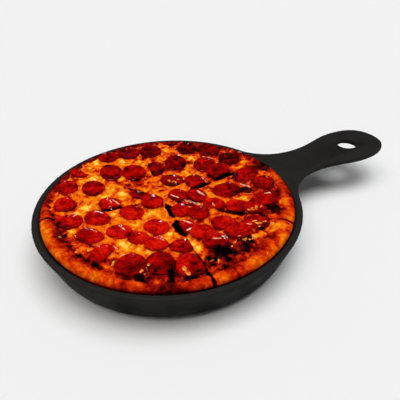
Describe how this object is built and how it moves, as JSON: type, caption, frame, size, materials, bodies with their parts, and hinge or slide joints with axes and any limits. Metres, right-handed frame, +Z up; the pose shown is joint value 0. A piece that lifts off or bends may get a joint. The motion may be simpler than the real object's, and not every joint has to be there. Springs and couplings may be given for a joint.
{
  "type": "deep dish pizza",
  "caption": "Deep dish pepperoni pizza cut into slices, in the black cast-iron skillet that it was baked in.",
  "frame": {"origin": "middle of the skillet's flat base, on the surface it stands on", "axes": "+Z up out of the pizza's top, +X from the middle out along the skillet's handle, +Y to the left seen from above with the handle pointing away"},
  "size_m": [0.469, 0.299, 0.0544],
  "materials": {
    "iron": "seasoned black cast iron, satin",
    "crust": "baked dough with melted cheese, oily",
    "pepperoni": "cured sausage, glossy with fat"
  },
  "bodies": {
    "root": {"skillet": "iron", "slice_1": "crust", "slice_2": "crust", "slice_3": "crust", "slice_4": "crust", "slice_5": "crust", "slice_6": "crust", "slice_7": "crust", "slice_8": "crust", "pepperoni_01": "pepperoni", "pepperoni_02": "pepperoni", "pepperoni_03": "pepperoni", "pepperoni_04": "pepperoni", "pepperoni_05": "pepperoni", "pepperoni_06": "pepperoni", "pepperoni_07": "pepperoni", "pepperoni_08": "pepperoni", "pepperoni_09": "pepperoni", "pepperoni_10": "pepperoni", "pepperoni_11": "pepperoni", "pepperoni_12": "pepperoni", "pepperoni_13": "pepperoni", "pepperoni_14": "pepperoni", "pepperoni_15": "pepperoni", "pepperoni_16": "pepperoni", "pepperoni_17": "pepperoni", "pepperoni_18": "pepperoni", "pepperoni_19": "pepperoni", "pepperoni_20": "pepperoni", "pepperoni_21": "pepperoni", "pepperoni_22": "pepperoni", "pepperoni_23": "pepperoni", "pepperoni_24": "pepperoni", "pepperoni_25": "pepperoni", "pepperoni_26": "pepperoni", "pepperoni_27": "pepperoni", "pepperoni_28": "pepperoni", "pepperoni_29": "pepperoni", "pepperoni_30": "pepperoni", "pepperoni_31": "pepperoni", "pepperoni_32": "pepperoni", "pepperoni_33": "pepperoni", "pepperoni_34": "pepperoni", "pepperoni_35": "pepperoni", "pepperoni_36": "pepperoni", "pepperoni_37": "pepperoni", "pepperoni_38": "pepperoni", "pepperoni_39": "pepperoni", "pepperoni_40": "pepperoni", "pepperoni_41": "pepperoni", "pepperoni_42": "pepperoni", "pepperoni_43": "pepperoni", "pepperoni_44": "pepperoni", "pepperoni_45": "pepperoni", "pepperoni_46": "pepperoni", "pepperoni_47": "pepperoni", "pepperoni_48": "pepperoni", "pepperoni_49": "pepperoni", "pepperoni_50": "pepperoni", "pepperoni_51": "pepperoni"}
  },
  "joints": []
}
